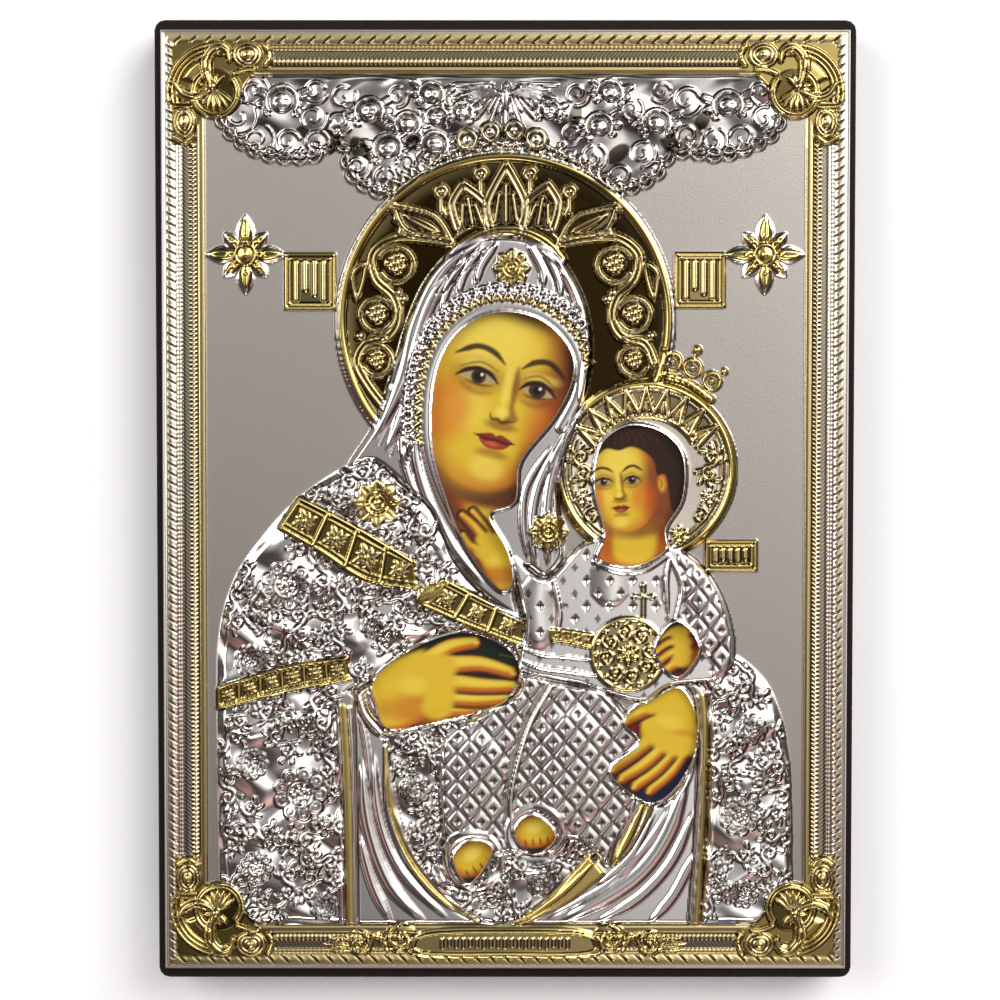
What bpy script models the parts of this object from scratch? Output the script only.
"""An icon panel: a dark wooden board, a painted picture on its face, and a pressed metal cover
over both, with openings that show the painted faces, hands and feet. It lies on its back, so
+Z is out of the picture, +Y is up the picture and the origin is the middle of the board's back.

The cover's relief is drawn in millimetres on a sheet whose origin is the middle of the field.
One factor fits that drawing to the real field: the figures stand on the field's foot, the clouds
hang from its head, and the corner ornaments keep to the cover's corners.
"""
import math

import bmesh
import bpy
from mathutils import Vector

MM = 0.001

# Board
BOARD_WIDTH = 160 * MM
BOARD_HEIGHT = 220 * MM
BOARD_THICKNESS = 15 * MM
BOARD_CORNER_RADIUS = 2.4 * MM
BOARD_EDGE_BEVEL = 0.9 * MM

# Picture
CLEARANCE = 0.3 * MM
PICTURE_THICKNESS = 0.4 * MM

# Cover: a shallow tray, upside down over the picture
COVER_MARGIN_SIDE = 1.6 * MM
COVER_MARGIN_END = 2.5 * MM
COVER_CORNER_RADIUS = 3.0 * MM
COVER_RIM = 2.0 * MM
COVER_SHEET = 0.6 * MM
ROOT_DEPTH = 0.35 * MM

# Border mouldings, from the outside in
BORDER_EDGE = 0.2 * MM
ROPE_WIDTH = 2.2 * MM
ROPE_RISE = 1.3 * MM
RIB_WIDTH = 1.9 * MM
RIB_RISE = 0.7 * MM
GROOVE = 0.7 * MM
BEAD_WIDTH = 2.7 * MM
BEAD_RISE = 0.6 * MM
FILLET_GAP = 0.5 * MM
FILLET_WIDTH = 1.4 * MM
FILLET_RISE = 0.8 * MM

# Relief heights above the sheet
CLOUD_RISE = 0.9 * MM
HALO_RISE = 0.25 * MM
CHILD_HALO_RISE = 0.95 * MM
MANTLE_RISE = 1.2 * MM
SKIRT_RISE = 0.8 * MM
DRAPE_RISE = 1.0 * MM
VEIL_RISE = 1.6 * MM
BAND_RISE = 1.75 * MM
STRIP_RISE = 1.85 * MM
TUNIC_RISE = 2.0 * MM
ROBE_RISE = 2.3 * MM
ORB_RISE = 2.7 * MM
PLAQUE_RISE = 0.8 * MM
FOLD_RISE = 0.45 * MM
SCROLL_RISE = 0.5 * MM

# Haloes, in drawn millimetres
HALO_CENTRE = (0, 41.5)
HALO_RADIUS = 38.7
HALO_RIM = 2.0
CHILD_HALO_CENTRE = (32.2, 7.5)
CHILD_HALO_RADIUS = 21
CHILD_HALO_RIM = 2.2

# The sheet that the relief is drawn on, in drawn millimetres
DRAWN_WIDTH = 137.6
DRAWN_HEIGHT = 195.8

COVER_WIDTH = BOARD_WIDTH - 2 * COVER_MARGIN_SIDE
COVER_HEIGHT = BOARD_HEIGHT - 2 * COVER_MARGIN_END
BORDER_WIDTH = (2 * BORDER_EDGE + ROPE_WIDTH + RIB_WIDTH + GROOVE + BEAD_WIDTH + FILLET_GAP
                + FILLET_WIDTH)
FIELD_WIDTH = COVER_WIDTH - 2 * BORDER_WIDTH
FIELD_HEIGHT = COVER_HEIGHT - 2 * BORDER_WIDTH
FIGURE_SCALE = min(FIELD_WIDTH / DRAWN_WIDTH, FIELD_HEIGHT / DRAWN_HEIGHT) / MM
COVER_BOTTOM = BOARD_THICKNESS + CLEARANCE
POCKET_TOP = COVER_BOTTOM + PICTURE_THICKNESS + CLEARANCE
SHEET_TOP = POCKET_TOP + COVER_SHEET
CUTTER_TOP = SHEET_TOP + 2 * ROBE_RISE

# How finely curves are cut up
CURVE_STEPS = 2
ARC_STEPS = 3
RIDGE = 2
ROUND = 3
MERGE = 0.002 * MM
TINY = 0.0001 * MM

# Outlines of the relief, in drawn millimetres; "corner" marks a sharp one
VEIL = [
    (-36, 8.5), (-30, 18.5), (-25.5, 32), (-22.5, 42), (-18, 51.5), (-11, 58.6), (-3, 61),
    (7, 59.8), (13.5, 55), (18.5, 45.5), (20, 34), (18, 22), (14, 11), (12.5, 3), (13, -5),
    (13.5, -12.5), (9, -17.3), (4.6, -15), (2.8, -21), (3.4, -27), (-6, -20.8), (-12, -13.5),
    (-16.8, -2.6), (-22, 2.2), (-30, 9),
]
MANTLE_LEFT = [
    (-33, 10.2), (-46.5, 1.8), (-56.5, -9), (-62.5, -18.5), (-65.7, -31), (-66.2, -50),
    (-65.6, -97.5, "corner"), (-35.2, -97.5, "corner"), (-36.4, -60), (-37, -46.5),
    (-29.5, -41), (-15, -30.2), (-6, -31), (3.6, -35.4), (5.4, -30), (3.6, -26.4),
    (-6, -20.2), (-12, -12.2), (-16.2, -1.8), (-25, 5.4), (-28.6, 8.6),
]
MANTLE_RIGHT = [
    (51.5, -34.6), (57, -38), (61.8, -44.5), (65.2, -57), (66.2, -75), (66.4, -97.5, "corner"),
    (44.4, -97.5, "corner"), (46, -70), (45.6, -48), (44, -41.5), (47.6, -38),
]
SHOULDER_BAND = [
    (-46.8, 1.6, "corner"), (-33, -5.6), (-20.8, -13.2, "corner"), (-19.8, -18.6, "corner"),
    (-24, -20.6), (-32, -18.2), (-42, -11.8), (-52, -6, "corner"),
]
CHEST_BAND = [
    (-13.2, -17.2, "corner"), (-4, -22.2), (4.6, -26.2, "corner"), (3.8, -33, "corner"),
    (-8, -28.6), (-19.6, -23.6, "corner"), (-18.4, -19.8, "corner"),
]
SLEEVE_BAND = [
    (-65.9, -42.2, "corner"), (-50, -37.2), (-36.4, -35.2, "corner"), (-35.6, -40.8, "corner"),
    (-50, -43.4), (-65.9, -47.6, "corner"),
]
SKIRT = [
    (-28.6, -54), (-27.6, -66), (-22.8, -80), (-12.4, -92.8), (-2, -97.2), (8, -94),
    (17.4, -85), (24, -74), (10, -60), (-10, -49),
]
DRAPE_LEFT = [
    (-34.8, -97.5, "corner"), (-34.6, -70), (-34.4, -47), (-26.6, -55.5), (-26, -70),
    (-20.6, -83), (-11, -93.4), (-1, -97.5, "corner"),
]
DRAPE_RIGHT = [
    (1, -97.5, "corner"), (11, -91.4), (22, -80.6), (30.6, -68.4), (36, -69.2), (41.4, -62.6),
    (44.6, -50), (44.6, -74), (44.2, -97.5, "corner"),
]
STRIP_LEFT = [
    (-38.8, -47), (-34.8, -43.6), (-34, -52), (-33.6, -97.4, "corner"),
    (-36.6, -97.4, "corner"), (-37.6, -70),
]
STRIP_RIGHT = [
    (41.6, -41.9), (44.6, -41.7), (46.8, -48), (46.1, -75), (45, -97.4, "corner"),
    (42.3, -97.4, "corner"), (44.2, -60), (43.4, -45.4),
]
LINING_UPPER = [(30.6, -67.4), (34.4, -68.8), (30, -78), (24.6, -83.8), (25.8, -77)]
LINING_LOWER = [
    (19.2, -80.4, "corner"), (23.2, -85.4, "corner"), (13, -93), (1, -97.4, "corner"),
    (10.4, -90.2),
]
CUFF = [(-33.8, -43.4), (-29, -41.2), (-28, -47), (-24, -52.4), (-29, -53.6), (-33.2, -49)]
TUNIC = [
    (18.4, -8.6), (9.4, -17), (1.4, -12), (4.2, -27), (2.8, -35.4), (3.6, -39.2), (17, -42),
    (31, -46), (38, -42.4), (49, -40.6), (52.8, -34.6), (51, -24), (46, -15), (38.4, -9.6),
    (29, -9),
]
ROBE = [
    (3.6, -38.8), (14, -41.2), (23, -43), (30.6, -52), (31.4, -57), (27, -61), (31, -68.6),
    (25.6, -79), (23.6, -83.8), (19, -79.4), (14.6, -77.6), (10.4, -81.2), (-1, -81),
    (-3.6, -86), (-8.4, -89), (-12.8, -86), (-15.2, -72), (-14.8, -55), (-5, -47.6), (2.6, -43.4),
]

# Openings that show the picture, in drawn millimetres
FACE_OPENING = [
    (2, 43.4), (9.4, 40.8), (14.8, 34.6), (15.2, 28), (11, 19.4), (3.4, 9.6), (2.1, 0.4),
    (-3.8, -2.6), (0.4, -11), (1.6, -18), (-1.4, -19.6), (-8.4, -10.6), (-13.6, 2), (-16.6, 14),
    (-16, 28), (-12.3, 37), (-5.6, 42.4),
]
CHILD_OPENING = [
    (29.6, 17.8), (36.4, 15.8), (40.6, 10.4), (40.4, 1), (36.6, -5.6), (36.4, -10.8),
    (29.4, -14.2), (21.4, -12.6), (23, -7), (20.6, 3), (21.5, 12), (24.6, 16),
]
RIGHT_HAND_OPENING = [
    (-30, -40.6), (-22, -34), (-10, -29.8), (0, -33.2), (3.3, -39), (-0.6, -45.6),
    (-12, -49.4), (-26.2, -51.8), (-29.4, -46),
]
LEFT_HAND_OPENING = [
    (33, -45.8), (40, -42.6), (43.9, -50), (42.4, -60.4), (34.4, -68.9), (24.2, -61.8),
    (31, -55.2), (27.4, -50.4), (30, -47),
]
CHILD_HAND_OPENING = [(39.4, -27.1), (44.3, -33.4), (39.4, -39.7), (34.4, -33.4)]
LEFT_FOOT_OPENING = [(-11.8, -81.6), (-8, -77.6), (-3, -79.6), (-8.2, -87.4)]
RIGHT_FOOT_OPENING = [(2.2, -75.6), (6.4, -71.6), (11.6, -76.6), (6.4, -80.7)]
OPENINGS = {
    "face": FACE_OPENING,
    "child": CHILD_OPENING,
    "right_hand": RIGHT_HAND_OPENING,
    "left_hand": LEFT_HAND_OPENING,
    "child_hand": CHILD_HAND_OPENING,
    "left_foot": LEFT_FOOT_OPENING,
    "right_foot": RIGHT_FOOT_OPENING,
}

# Folds, as centre lines with a width, in drawn millimetres
VEIL_FOLDS = [
    (1.8, [(-4, 58.6), (-14, 52), (-19.6, 40), (-22.4, 28), (-28.4, 15)]),
    (1.6, [(-2, 55), (-11.6, 49.4), (-16.8, 39), (-19.4, 26), (-23.4, 12)]),
    (1.6, [(-17.6, 24), (-19, 13), (-17, 2), (-12.6, -8), (-5, -18.6)]),
    (1.8, [(4, 58.6), (12.6, 52), (17, 42), (17.8, 32), (15, 19)]),
    (1.6, [(13, 14), (7, 3), (5.4, -8), (6.6, -15.4)]),
    (1.6, [(15, 20), (10.4, 7), (9.6, -5), (10, -14)]),
    (2.4, [(-17.4, 22), (-13.6, 34), (-6, 43.6), (1, 45.6), (9.6, 42.6), (16.6, 35)]),
]
DRAPE_FOLDS = [
    (2.0, [(-33.4, -60), (-31.4, -76), (-26, -89), (-19, -96)]),
    (1.8, [(-29.6, -60), (-28, -74), (-22, -86), (-13, -94.6)]),
    (2.2, [(41.6, -66), (37, -77), (28, -87), (14, -95.6)]),
    (1.8, [(42.6, -75), (37.6, -84), (30, -91), (22, -96)]),
    (1.6, [(37.6, -70.6), (31, -80.6), (22, -88.6), (10, -95)]),
]
MANTLE_FOLDS = [
    (1.6, [(-30, 7), (-24, -1.6), (-18, -9), (-16, -14)]),
    (1.8, [(-62, -24), (-50, -28.6), (-38, -32.4)]),
    (1.6, [(-34, -23), (-26, -29), (-18, -30)]),
]
SEAMS = [
    (1.2, [(10, -17), (11.6, -25), (11, -30)]),
    (1.2, [(36.6, -12), (39.6, -19), (38, -26)]),
    (2.6, [(6, -30.4), (13, -31), (20, -32.6)]),
    (1.3, [(10, -42), (5, -50), (2, -59), (0, -68), (0, -76)]),
]

# Scrolls of the brocade: centre, radius, and which way each curls
MANTLE_SCROLLS = [
    (-60, -26, 3.6, 1), (-42, -27, 3.4, 1), (-60, -58, 3.8, 1),
    (-44, -54, 3.4, -1), (-58, -78, 3.8, -1), (-42.6, -81, 3.6, 1), (53, -46, 3.2, -1),
    (58, -60, 4, 1), (52, -72, 3.6, -1), (58, -86, 3.8, 1),
]
MANTLE_FLOWERS = [(-50, -18, 5.4), (-49, -67, 5.8), (-51, -90, 3.2)]
SKIRT_SCROLLS = [
    (-21, -61, 3.2, 1), (-19.6, -72, 3.2, -1), (4, -90, 2.8, -1),
]
CORNER_LEAVES = 4

relief_parts = bmesh.new()


def clear_scene():
    for scene_object in list(bpy.data.objects):
        bpy.data.objects.remove(scene_object, do_unlink=True)


def new_collection(name):
    collection = bpy.data.collections.new(name)
    bpy.context.scene.collection.children.link(collection)
    return collection


def new_material(name, colour, metallic, roughness):
    material = bpy.data.materials.new(name)
    material.use_nodes = True
    shader = material.node_tree.nodes["Principled BSDF"]
    shader.inputs["Base Color"].default_value = (*colour, 1)
    shader.inputs["Metallic"].default_value = metallic
    shader.inputs["Roughness"].default_value = roughness
    material.diffuse_color = (*colour, 1)
    return material


def figure(x, y):
    """A drawn point of the figures, which stand on the field's foot."""
    return (x * FIGURE_SCALE * MM, (y + DRAWN_HEIGHT / 2) * FIGURE_SCALE * MM - FIELD_HEIGHT / 2)


def sky(x, y):
    """A drawn point of the clouds, which hang from the field's head."""
    return (x * FIGURE_SCALE * MM, (y - DRAWN_HEIGHT / 2) * FIGURE_SCALE * MM + FIELD_HEIGHT / 2)


def corner(side, end):
    """A layout whose points are millimetres in from one of the cover's corners."""
    def layout(x, y):
        return (side * (COVER_WIDTH / 2 - x * MM), end * (COVER_HEIGHT / 2 - y * MM))
    return layout


def foot_plate(x, y):
    """A point of the name plate, in millimetres from the middle of the cover's foot."""
    return (x * MM, y * MM - COVER_HEIGHT / 2)


def smoothed(points, closed, steps=CURVE_STEPS):
    """Points along a smooth curve through the given ones, which keeps the sharp corners."""
    count = len(points)
    result = []
    for index in range(count if closed else count - 1):
        start = points[index]
        end = points[(index + 1) % count]
        before = points[index - 1] if closed or index else start
        after = points[(index + 2) % count] if closed or index + 2 < count else end
        leave = (0, 0) if "corner" in start else ((end[0] - before[0]) / 2, (end[1] - before[1]) / 2)
        arrive = (0, 0) if "corner" in end else ((after[0] - start[0]) / 2, (after[1] - start[1]) / 2)
        straight = "corner" in start and "corner" in end
        for step in range(1 if straight else steps):
            t = step / steps
            blend = (2 * t ** 3 - 3 * t ** 2 + 1, t ** 3 - 2 * t ** 2 + t,
                     3 * t ** 2 - 2 * t ** 3, t ** 3 - t ** 2)
            result.append(tuple(blend[0] * start[axis] + blend[1] * leave[axis]
                                + blend[2] * end[axis] + blend[3] * arrive[axis]
                                for axis in range(2)))
    if not closed:
        result.append(tuple(points[-1][:2]))
    return result


def rounded_rectangle(width, height, radius):
    """The outline of a rectangle with round corners, anticlockwise, in metres."""
    points = []
    for quarter in range(4):
        across = (1, -1, -1, 1)[quarter] * (width / 2 - radius)
        along = (1, 1, -1, -1)[quarter] * (height / 2 - radius)
        for step in range(ARC_STEPS + 1):
            angle = math.pi / 2 * (quarter + step / ARC_STEPS)
            points.append((across + radius * math.cos(angle), along + radius * math.sin(angle)))
    return points


def mesh_from_curve(curve):
    """The curve's mesh, with its caps welded on."""
    carrier = bpy.data.objects.new("carrier", curve)
    bpy.context.scene.collection.objects.link(carrier)
    evaluated = carrier.evaluated_get(bpy.context.evaluated_depsgraph_get())
    mesh = bpy.data.meshes.new_from_object(evaluated)
    bpy.data.objects.remove(carrier, do_unlink=True)
    bpy.data.curves.remove(curve)
    shape = bmesh.new()
    shape.from_mesh(mesh)
    bpy.data.meshes.remove(mesh)
    bmesh.ops.remove_doubles(shape, verts=shape.verts, dist=MERGE)
    bmesh.ops.recalc_face_normals(shape, faces=shape.faces)
    return shape


def outline_shape(outlines, half_thickness):
    """A flat solid between +half_thickness and -half_thickness; inner outlines are holes."""
    curve = bpy.data.curves.new("outline", "CURVE")
    curve.dimensions = "2D"
    curve.fill_mode = "BOTH"
    curve.extrude = half_thickness
    for outline in outlines:
        spline = curve.splines.new("POLY")
        spline.points.add(len(outline) - 1)
        for point, place in zip(spline.points, outline):
            point.co = (*place, 0, 1)
        spline.use_cyclic_u = True
    return mesh_from_curve(curve)


def half_round(width, steps):
    """The section of a moulding: a round top, or a ridge where steps is 2, on straight sides."""
    curve = bpy.data.curves.new("section", "CURVE")
    curve.dimensions = "2D"
    spline = curve.splines.new("POLY")
    top = [(math.cos(math.pi * step / steps), math.sin(math.pi * step / steps))
           for step in range(steps + 1)]
    outline = [(1, -1), *top, (-1, -1)]
    spline.points.add(len(outline) - 1)
    for point, (across, up) in zip(spline.points, outline):
        point.co = (across * width / 2, max(up, 0) * width / 2 - (up < -0.5) * width / 2, 0, 1)
    spline.use_cyclic_u = True
    section = bpy.data.objects.new("section", curve)
    bpy.context.scene.collection.objects.link(section)
    return section


def tube_shape(points, width, closed=False, taper=True, section_steps=RIDGE):
    """A moulding along the points, thinner at its ends."""
    section = half_round(width, section_steps)
    curve = bpy.data.curves.new("tube", "CURVE")
    curve.dimensions = "3D"
    curve.twist_mode = "Z_UP"
    curve.bevel_mode = "OBJECT"
    curve.bevel_object = section
    curve.use_fill_caps = True
    spline = curve.splines.new("POLY")
    spline.points.add(len(points) - 1)
    for index, (point, place) in enumerate(zip(spline.points, points)):
        point.co = (*place, 0, 1)
        point.radius = 0.45 if taper and not closed and index in (0, len(points) - 1) else 1
    spline.use_cyclic_u = closed
    shape = mesh_from_curve(curve)
    section_curve = section.data
    bpy.data.objects.remove(section, do_unlink=True)
    bpy.data.curves.remove(section_curve)
    return shape


def settle(shape, base, rise):
    """Stand a shape on the surface at base: its top rises by rise, and its root goes straight down
    into the sheet, so nothing overhangs."""
    top = max(vertex.co.z for vertex in shape.verts)
    for vertex in shape.verts:
        if vertex.co.z < -TINY:
            vertex.co.z = SHEET_TOP - ROOT_DEPTH
        else:
            vertex.co.z = base + vertex.co.z / top * rise
    mesh = bpy.data.meshes.new("relief")
    shape.to_mesh(mesh)
    shape.free()
    relief_parts.from_mesh(mesh)
    bpy.data.meshes.remove(mesh)


def add_pad(points, rise, layout=figure, base=SHEET_TOP, holes=(), steps=CURVE_STEPS):
    outlines = [[layout(*point) for point in smoothed(outline, True, steps)]
                for outline in [points, *holes]]
    settle(outline_shape(outlines, MM), base, rise)


def add_bar(points, width, base, rise, layout=figure, closed=False, taper=True, steps=CURVE_STEPS):
    path = [layout(*point) for point in smoothed(points, closed, steps)]
    settle(tube_shape(path, width * FIGURE_SCALE * MM, closed, taper), base, rise)


def add_dome(x, y, radius, base, rise, layout=figure, sides=6):
    """A low dome on a round foot: the upper half of a ball, and below it straight sides."""
    shape = bmesh.new()
    bmesh.ops.create_uvsphere(shape, u_segments=sides, v_segments=4, radius=radius * MM)
    for vertex in shape.verts:
        reach = vertex.co.xy.length
        if vertex.co.z < -TINY and reach > TINY:
            vertex.co.xy *= radius * MM / reach
    across, along = layout(x, y)
    bmesh.ops.translate(shape, verts=shape.verts, vec=(across, along, 0))
    settle(shape, base, rise)


def add_petal(root, tip, width, base, rise, layout=figure):
    """A pointed leaf with a ridge: a four-sided cone, stretched from its root to its tip."""
    start = Vector(layout(*root))
    end = Vector(layout(*tip))
    run = end - start
    across = Vector((-run.y, run.x)).normalized() * width / 2 * FIGURE_SCALE * MM
    middle = start.lerp(end, 0.42)
    shape = bmesh.new()
    bmesh.ops.create_cone(shape, cap_ends=True, segments=4, radius1=1, radius2=0, depth=2)
    corners = sorted((vertex for vertex in shape.verts if vertex.co.z < 0),
                     key=lambda vertex: math.atan2(vertex.co.y, vertex.co.x))
    for vertex, place in zip(corners, (end, middle + across, start, middle - across)):
        vertex.co = (place.x, place.y, 0)
    peak = next(vertex for vertex in shape.verts if vertex.co.z > 0)
    peak.co = (middle.x, middle.y, MM)
    foot = [face for face in shape.faces if len(face.verts) == 4]
    grown = bmesh.ops.extrude_face_region(shape, geom=foot)["geom"]
    bmesh.ops.delete(shape, geom=foot, context="FACES_ONLY")
    for item in grown:
        if isinstance(item, bmesh.types.BMVert):
            item.co.z = -MM
    bmesh.ops.recalc_face_normals(shape, faces=shape.faces)
    settle(shape, base, rise)


def circle(x, y, radius, count=12, first=0.0, last=360.0):
    """Points on a circle or an arc, in drawn millimetres."""
    whole = last - first >= 360
    steps = count if whole else count - 1
    return [(x + radius * math.cos(math.radians(first + (last - first) * step / steps)),
             y + radius * math.sin(math.radians(first + (last - first) * step / steps)))
            for step in range(count)]


def spiral(x, y, radius, way, turns=1.25, first=90.0, count=6):
    """Points of a scroll that winds in towards its centre."""
    points = []
    for step in range(count):
        share = step / (count - 1)
        angle = math.radians(first + way * 360 * turns * share)
        reach = radius * (1 - 0.72 * share)
        points.append((x + reach * math.cos(angle), y + reach * math.sin(angle)))
    return points


def add_ring(x, y, radius, width, base, rise, layout=figure, count=10):
    add_bar(circle(x, y, radius - width / 2, count), width, base, rise, layout, True, False, 1)


def add_flower(x, y, radius, petals, base, rise, layout=figure, turn=0.0, width=None, eye=True):
    """Petals around a raised eye."""
    for petal in range(petals):
        angle = math.radians(turn + 360 * petal / petals)
        root = (x + 0.2 * radius * math.cos(angle), y + 0.2 * radius * math.sin(angle))
        tip = (x + radius * math.cos(angle), y + radius * math.sin(angle))
        add_petal(root, tip, width or 3.4 * radius / petals, base, rise, layout)
    if eye:
        add_dome(x, y, 0.3 * radius, base, rise * 1.2, layout)


def add_moulding(inset, width, rise):
    """A round moulding that follows the cover's edge, its outer side inset from that edge."""
    middle = inset + width / 2
    across = COVER_WIDTH / 2 - middle
    along = COVER_HEIGHT / 2 - middle
    path = [(across, along), (-across, along), (-across, -along), (across, -along)]
    settle(tube_shape(path, width, True, False, ROUND), SHEET_TOP, rise)


def add_border():
    inset = BORDER_EDGE
    add_moulding(inset, ROPE_WIDTH, ROPE_RISE)
    inset += ROPE_WIDTH
    add_moulding(inset, RIB_WIDTH, RIB_RISE)
    inset += RIB_WIDTH + GROOVE
    add_moulding(inset, BEAD_WIDTH, BEAD_RISE)
    inset += BEAD_WIDTH + FILLET_GAP
    add_moulding(inset, FILLET_WIDTH, FILLET_RISE)


def add_corner(side, end):
    """A scrolled shell with a fan of leaves, a roundel and a bud along each side of it."""
    layout = corner(side, end)
    high = SHEET_TOP + BEAD_RISE + 0.1 * MM
    add_pad([(3, 3), (12, 2.2), (21.6, 2.8), (23, 6), (18, 10), (16.4, 18), (10, 20),
             (6, 24.4), (3, 21), (2.4, 12)], BEAD_RISE + 0.1 * MM, layout, steps=1)
    add_ring(12.4, 14, 5, 1.8, high, 1.0 * MM, layout, 9)
    for leaf in range(CORNER_LEAVES):
        angle = math.radians(20 + 50 * leaf / (CORNER_LEAVES - 1))
        tip = (12.4 - 5.6 * math.cos(angle), 14 - 5.6 * math.sin(angle))
        add_petal((12.4, 14), tip, 2, high, 0.9 * MM, layout)
    add_dome(7.6, 7.2, 3.6, high, 0.9 * MM, layout, 8)
    add_ring(20.6, 4.8, 2.4, 1.2, high, 0.7 * MM, layout, 7)
    add_dome(5, 20.6, 2.1, high, 0.7 * MM, layout, 6)
    add_bar([(3.6, 15.4), (3.8, 7), (8, 3.6), (15.6, 3.8)], 1.4, high, 0.7 * MM, layout,
            steps=1)
    add_bar([(15, 5), (13.6, 9), (17.6, 10.4)], 1.3, high, 0.6 * MM, layout, steps=1)


def add_foot_plate():
    """The name plate in the middle of the lower border, with a scroll at each end."""
    outline = [(-21, 3.2, "corner"), (21, 3.2, "corner"), (21.6, 9, "corner"),
               (-21, 9, "corner")]
    add_pad(outline, BEAD_RISE + 0.3 * MM, foot_plate)
    high = SHEET_TOP + BEAD_RISE
    for side in (-1, 1):
        add_bar(spiral(side * 33, 5.5, 2.8, side), 1.3, high, 0.7 * MM, foot_plate, steps=1)
        add_bar(spiral(side * 24, 8, 3.2, -side, first=270), 1.3, high, 0.8 * MM, foot_plate,
                steps=1)
        add_bar([(side * 33, 8.3), (side * 29, 6), (side * 25, 4.6)], 1.4, high, 0.7 * MM,
                foot_plate, steps=1)


def add_clouds():
    """Banks of cloud along the head of the field, with small heads among them."""
    edge = [(-66, 97.4, "corner"), (-65, 86), (-56, 79), (-44, 78), (-38, 81.6), (-35, 73.5),
            (-25, 69.5), (-17, 76), (-8, 80.4), (8, 80.4), (17, 76), (25, 70.6), (34, 73.5),
            (39, 79), (50, 78.5), (61, 83), (64, 90), (66, 97.4, "corner")]
    add_pad(edge, CLOUD_RISE, sky)
    puffs = [(-61.6, 87.6, 3.6), (-56.6, 82.6, 3.6), (-48, 81.6, 3.6),
             (-34.4, 78, 3.4), (-30, 73, 3.2), (-22.6, 75.4, 3),
             (-9, 84.6, 2.6), (61, 88, 3.6), (56.6, 82.2, 3.4), (47.6, 81.8, 3.6),
             (35, 77.4, 3.4), (29, 73.6, 3), (16, 80.4, 2.8)]
    high = SHEET_TOP + CLOUD_RISE
    for x, y, radius in puffs:
        add_dome(x, y, radius, high, 0.5 * MM, sky)
    heads = [(-51, 90.5, 2.6), (-31, 88.5, 2.3), (-16.8, 92.5, 2), (-27, 81, 2), (-17, 83, 2),
             (21, 86.5, 2.2), (34, 87.5, 2.4), (51, 90.8, 2.3), (10, 88, 1.7)]
    for x, y, radius in heads:
        add_dome(x, y, radius, high, 1.0 * MM, sky)
        for side in (-1, 1) if radius > 2.3 else ():
            add_petal((x + side * radius, y - 0.4), (x + side * radius * 2.3, y + 1.8), 1.8, high,
                      0.6 * MM, sky)
    for ray in range(5):
        angle = math.radians(210 + 30 * ray)
        tip = (6.4 * math.cos(angle), 94.6 + 6.4 * math.sin(angle))
        add_petal((0, 95.4), tip, 1.8, high, 0.6 * MM, sky)


def add_halo():
    """The mother's halo: a flat ground, a rim, a crown of pointed leaves and a vine each side."""
    x, y = HALO_CENTRE
    ground = SHEET_TOP + HALO_RISE
    add_pad(circle(x, y, HALO_RADIUS - HALO_RIM / 2, 26), HALO_RISE, steps=1)
    add_ring(x, y, HALO_RADIUS, HALO_RIM, SHEET_TOP, 1.0 * MM, count=26)
    add_bar(circle(0, 42, 20.4, 8, 52, 128), 2.2, ground, 1.0 * MM, taper=False, steps=1)
    for root, tip in (((0, 62.6), (0, 77)), ((-8, 61), (-9, 73.6)), ((8, 61), (9, 73.6))):
        add_petal(root, tip, 7, ground, 0.9 * MM)
    for side in (-1, 1):
        add_petal((side * 13, 59.6), (side * 24, 68.4), 5, ground, 0.9 * MM)
        add_dome(side * 4.8, 74.4, 1.4, ground, 0.8 * MM)
        add_dome(side * 15, 71, 1.4, ground, 0.8 * MM)
        add_petal((side * 31, 46.6), (side * 33.6, 53.6), 3, ground, 0.7 * MM)
    vines = [(-24.6, 54.6, 4.8, 1), (-29.4, 43.4, 4.6, -1), (-30, 33, 4.2, 1),
             (23.4, 55.6, 4.8, -1), (27.8, 44.4, 4.6, 1), (29.4, 34, 4.0, -1)]
    for x, y, radius, way in vines:
        add_bar(spiral(x, y, radius, way, count=6), 1.7, ground, 0.9 * MM, steps=1)


def add_child_halo():
    x, y = CHILD_HALO_CENTRE
    high = SHEET_TOP + CHILD_HALO_RISE
    add_pad(circle(x, y, CHILD_HALO_RADIUS - CHILD_HALO_RIM / 2, 20), CHILD_HALO_RISE, steps=1)
    add_ring(x, y, CHILD_HALO_RADIUS, CHILD_HALO_RIM, SHEET_TOP, CHILD_HALO_RISE + 0.4 * MM,
             count=20)
    for root, tip in (((24, 17), (20, 21.6)), ((27.4, 18.8), (25, 26)), ((31.6, 19), (31.4, 28)),
                      ((35.6, 18.6), (38.4, 26.4)), ((39, 16.4), (44, 22))):
        add_petal(root, tip, 4, high, 0.6 * MM)
    add_bar(spiral(16.4, 11, 2.6, 1), 1.2, high, 0.5 * MM, steps=1)
    add_bar(spiral(45.6, 12.6, 2.6, -1), 1.2, high, 0.5 * MM, steps=1)
    add_flower(16, 3, 2.5, 4, high, 0.5 * MM)
    add_flower(46.6, 3, 2.6, 4, high, 0.5 * MM)
    add_flower(40, -7, 2.2, 4, high, 0.5 * MM)
    add_bar([(36.4, 29.4), (41.6, 27.6), (46.6, 24)], 1.5, SHEET_TOP, 1.2 * MM)
    for x, y in ((38.6, 31.6), (43, 30), (47.4, 27)):
        add_dome(x, y, 2.3, SHEET_TOP, 1.0 * MM)
    add_dome(43.4, 34.4, 1.4, SHEET_TOP, 1.0 * MM)


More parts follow.
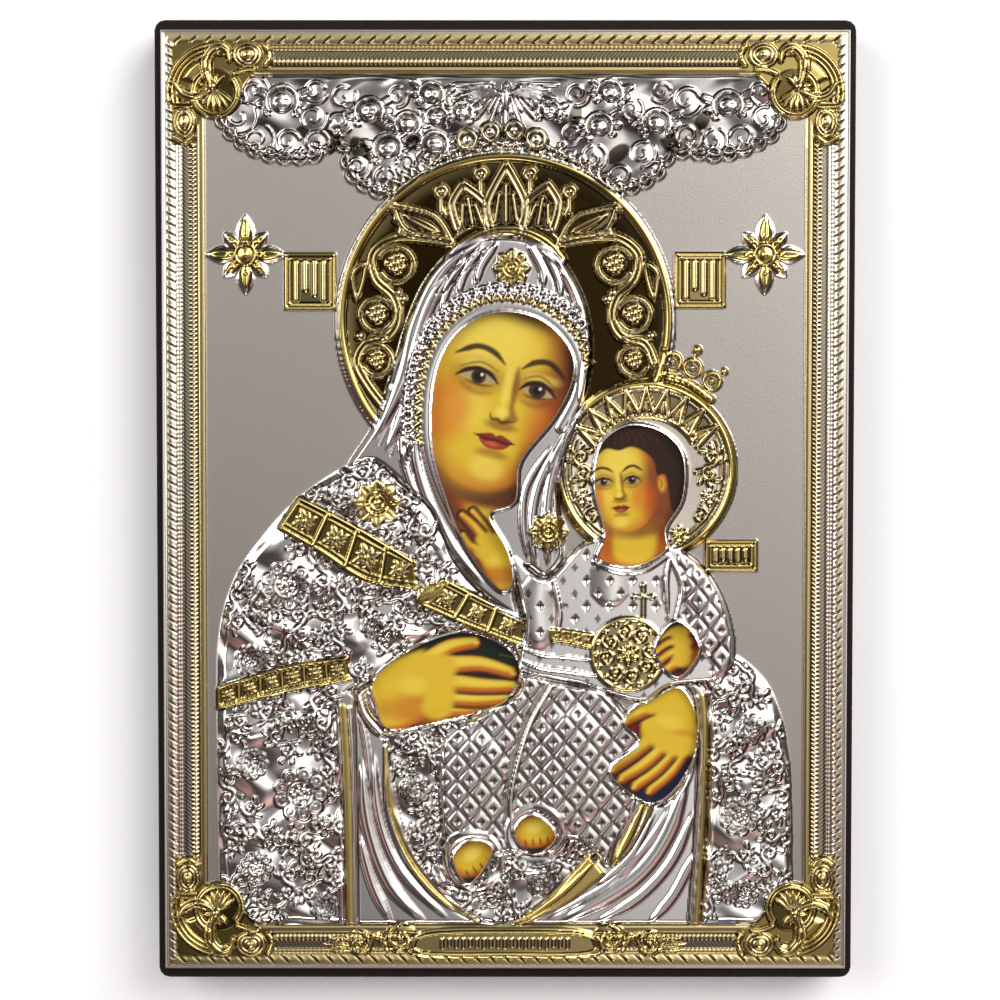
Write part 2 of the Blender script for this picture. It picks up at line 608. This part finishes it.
def add_stars_and_plates():
    for side in (-1, 1):
        star = (side * 59.2, 56.6)
        add_flower(*star, 9, 4, SHEET_TOP, 1.2 * MM, width=4)
        add_flower(*star, 7.4, 4, SHEET_TOP, 1.0 * MM, turn=45, width=3.2, eye=False)
    plates = [(-50.5, -38.5, 44, 57), (38.5, 50.3, 44.5, 57.2), (45.7, 57.8, -15.8, -8.5)]
    for left, right, bottom, top in plates:
        frame = [(left, bottom, "corner"), (right, bottom, "corner"), (right, top, "corner"),
                 (left, top, "corner")]
        edge = 1.7
        window = [(left + edge, bottom + edge, "corner"), (right - edge, bottom + edge, "corner"),
                  (right - edge, top - edge, "corner"), (left + edge, top - edge, "corner")]
        add_pad(frame, PLAQUE_RISE, holes=[window])


def add_figures():
    """The robes, each a layer of its own, from the lowest up."""
    for points, rise in ((SKIRT, SKIRT_RISE), (DRAPE_LEFT, DRAPE_RISE), (DRAPE_RIGHT, DRAPE_RISE),
                         (MANTLE_LEFT, MANTLE_RISE), (MANTLE_RIGHT, MANTLE_RISE),
                         (VEIL, VEIL_RISE), (SHOULDER_BAND, BAND_RISE), (CHEST_BAND, BAND_RISE),
                         (SLEEVE_BAND, BAND_RISE), (STRIP_LEFT, STRIP_RISE),
                         (STRIP_RIGHT, STRIP_RISE), (LINING_UPPER, STRIP_RISE),
                         (LINING_LOWER, STRIP_RISE), (CUFF, STRIP_RISE), (TUNIC, TUNIC_RISE),
                         (ROBE, ROBE_RISE)):
        add_pad(points, rise)
    for folds, base in ((VEIL_FOLDS, VEIL_RISE), (DRAPE_FOLDS, DRAPE_RISE),
                        (MANTLE_FOLDS, MANTLE_RISE), (SEAMS, TUNIC_RISE)):
        for width, points in folds:
            add_bar(points, width, SHEET_TOP + base, FOLD_RISE, steps=1)


def add_brocade():
    for scrolls, base in ((MANTLE_SCROLLS, MANTLE_RISE), (SKIRT_SCROLLS, SKIRT_RISE)):
        for x, y, radius, way in scrolls:
            add_bar(spiral(x, y, radius, way), 1.2, SHEET_TOP + base, SCROLL_RISE, steps=1)
    for x, y, radius in MANTLE_FLOWERS:
        add_flower(x, y, radius, 5, SHEET_TOP + MANTLE_RISE, 0.6 * MM)
    for x, y, radius, base in ((-29, 0, 5.2, MANTLE_RISE), (9.8, -6.5, 4.4, VEIL_RISE),
                               (1.5, 54, 4.2, VEIL_RISE)):
        add_flower(x, y, radius, 6, SHEET_TOP + base, 0.8 * MM)


def add_lattice():
    """The quilted diamonds on the child's robe."""
    pitch = 5.4
    high = SHEET_TOP + ROBE_RISE
    for row in range(7):
        for column in range(8):
            x = -10 + column * pitch + (row % 2) * pitch / 2
            y = -47.5 - row * pitch
            if inside((x, y), ROBE, 2.0) and abs(x - 0.18 * (y + 76)) > 1.6:
                add_petal((x, y + 1.5), (x, y - 1.9), 2.4, high, 0.35 * MM)


def add_orb():
    """The ball in the child's hand, with the cross that stands on it."""
    base = SHEET_TOP + TUNIC_RISE
    over = ORB_RISE - TUNIC_RISE
    add_dome(28, -34.5, 8.6, base, over + 0.3 * MM, sides=14)
    add_ring(28, -34.5, 8.8, 1.4, base, over * 0.9, count=14)
    add_bar([(31.5, -19.6), (31.5, -26)], 1.0, base, 0.6 * MM, steps=1)
    add_bar([(29.6, -21.6), (33.4, -21.6)], 1.0, base, 0.6 * MM, steps=1)


def inside(point, outline, margin):
    """Whether a drawn point lies in an outline, and margin or more from its corners and edges."""
    x, y = point
    within = False
    nearest = 1e9
    for index, start in enumerate(outline):
        end = outline[(index + 1) % len(outline)]
        if (start[1] > y) != (end[1] > y):
            crossing = start[0] + (y - start[1]) / (end[1] - start[1]) * (end[0] - start[0])
            within ^= x < crossing
        run = (end[0] - start[0], end[1] - start[1])
        share = ((x - start[0]) * run[0] + (y - start[1]) * run[1]) / (run[0] ** 2 + run[1] ** 2)
        share = min(1, max(0, share))
        nearest = min(nearest, math.dist(point, (start[0] + share * run[0],
                                                 start[1] + share * run[1])))
    return within and nearest > margin


def slab(name, outline, bottom, top):
    """An object: a flat plate with this outline, between two heights."""
    shape = outline_shape([outline], (top - bottom) / 2)
    bmesh.ops.translate(shape, verts=shape.verts, vec=(0, 0, (top + bottom) / 2))
    mesh = bpy.data.meshes.new(name)
    shape.to_mesh(mesh)
    shape.free()
    return bpy.data.objects.new(name, mesh)


def cut_with(target, cutter, operation, overlapping=False):
    cut = target.modifiers.new(operation.lower(), "BOOLEAN")
    cut.object = cutter
    cut.operation = operation
    cut.solver = "EXACT"
    cut.use_self = overlapping


def make_board(collection, material):
    outline = rounded_rectangle(BOARD_WIDTH, BOARD_HEIGHT, BOARD_CORNER_RADIUS)
    board = slab("board", outline, 0, BOARD_THICKNESS)
    collection.objects.link(board)
    board.data.materials.append(material)
    bevel = board.modifiers.new("edges", "BEVEL")
    bevel.width = BOARD_EDGE_BEVEL
    bevel.segments = 1
    bevel.limit_method = "ANGLE"
    bevel.angle_limit = math.radians(60)


def make_picture(collection, material):
    gap = 2 * (COVER_RIM + CLEARANCE)
    outline = rounded_rectangle(COVER_WIDTH - gap, COVER_HEIGHT - gap, COVER_CORNER_RADIUS / 2)
    picture = slab("picture", outline, COVER_BOTTOM, COVER_BOTTOM + PICTURE_THICKNESS)
    collection.objects.link(picture)
    picture.data.materials.append(material)


def make_cover(collection, cutters, material):
    outline = rounded_rectangle(COVER_WIDTH, COVER_HEIGHT, COVER_CORNER_RADIUS)
    cover = slab("cover", outline, COVER_BOTTOM, SHEET_TOP)
    collection.objects.link(cover)
    cover.data.materials.append(material)

    add_border()
    for side in (-1, 1):
        for end in (-1, 1):
            add_corner(side, end)
    add_foot_plate()
    add_clouds()
    add_halo()
    add_child_halo()
    add_stars_and_plates()
    add_figures()
    add_brocade()
    add_lattice()
    add_orb()
    mesh = bpy.data.meshes.new("relief")
    relief_parts.to_mesh(mesh)
    relief_parts.free()
    relief = bpy.data.objects.new("relief", mesh)

    pocket_outline = rounded_rectangle(COVER_WIDTH - 2 * COVER_RIM, COVER_HEIGHT - 2 * COVER_RIM,
                                       COVER_CORNER_RADIUS / 2)
    pocket = slab("pocket", pocket_outline, COVER_BOTTOM - MM, POCKET_TOP)
    cut_with(cover, relief, "UNION", overlapping=True)
    cut_with(cover, pocket, "DIFFERENCE")
    guides = [relief, pocket]
    for name, points in OPENINGS.items():
        edge = [figure(*point) for point in smoothed(points, True)]
        opening = slab(name + "_opening", edge, COVER_BOTTOM, CUTTER_TOP)
        cut_with(cover, opening, "DIFFERENCE")
        guides.append(opening)
    for guide in guides:
        cutters.objects.link(guide)
        guide.hide_render = True
        guide.display_type = "WIRE"
    flatten = cover.modifiers.new("join_flat_faces", "DECIMATE")
    flatten.decimate_type = "DISSOLVE"
    flatten.angle_limit = math.radians(0.5)


clear_scene()
icon_panel = new_collection("icon_panel")
cutter_collection = new_collection("cutters")
make_board(icon_panel, new_material("dark_wood", (0.035, 0.022, 0.018), 0.0, 0.5))
make_picture(icon_panel, new_material("printed_picture", (0.75, 0.45, 0.12), 0.0, 0.4))
make_cover(icon_panel, cutter_collection, new_material("pressed_metal", (0.72, 0.68, 0.6), 1.0, 0.3))
